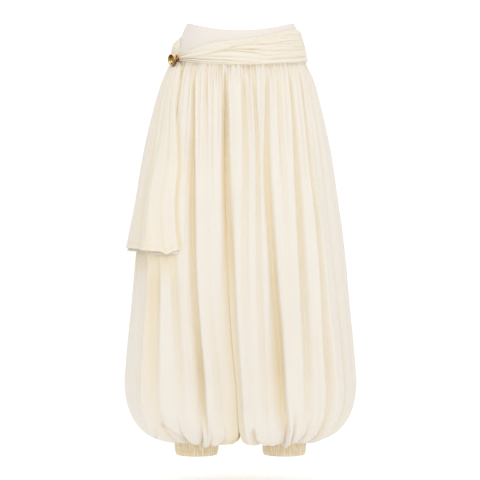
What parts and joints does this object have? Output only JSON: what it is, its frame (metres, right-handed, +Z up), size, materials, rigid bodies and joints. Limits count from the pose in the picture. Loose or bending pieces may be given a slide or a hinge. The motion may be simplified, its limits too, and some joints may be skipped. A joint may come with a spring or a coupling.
{
  "type": "balloon pants with a hip sash",
  "caption": "Full gathered balloon pants with a smooth hip yoke, bagged legs over narrow shirred cuffs, and a pleated hip sash whose tail hangs from a side clasp.",
  "frame": {"origin": "middle of the waist opening, where the wearer holds the garment up", "axes": "+Z up, -Y is the wearer's front, +X is the wearer's left"},
  "size_m": [0.556, 0.3556, 1.031],
  "materials": {
    "yoke_cloth": "matte ivory crepe",
    "leg_cloth": "soft cream crepe with a faint sheen",
    "sash_cloth": "cream crepe, pleated",
    "cuff_elastic": "shirred beige elastic cloth",
    "clasp_metal": "polished gold plate"
  },
  "bodies": {
    "root": {"yoke_front": "yoke_cloth", "yoke_back": "yoke_cloth", "leg_front_left": "leg_cloth", "leg_front_right": "leg_cloth", "leg_back_left": "leg_cloth", "leg_back_right": "leg_cloth", "cuff_left": "cuff_elastic", "cuff_right": "cuff_elastic", "sash_front": "sash_cloth", "sash_back": "sash_cloth", "sash_tail": "sash_cloth", "sash_tail_under": "sash_cloth", "clasp_cup": "clasp_metal", "clasp_ring": "clasp_metal"}
  },
  "joints": []
}
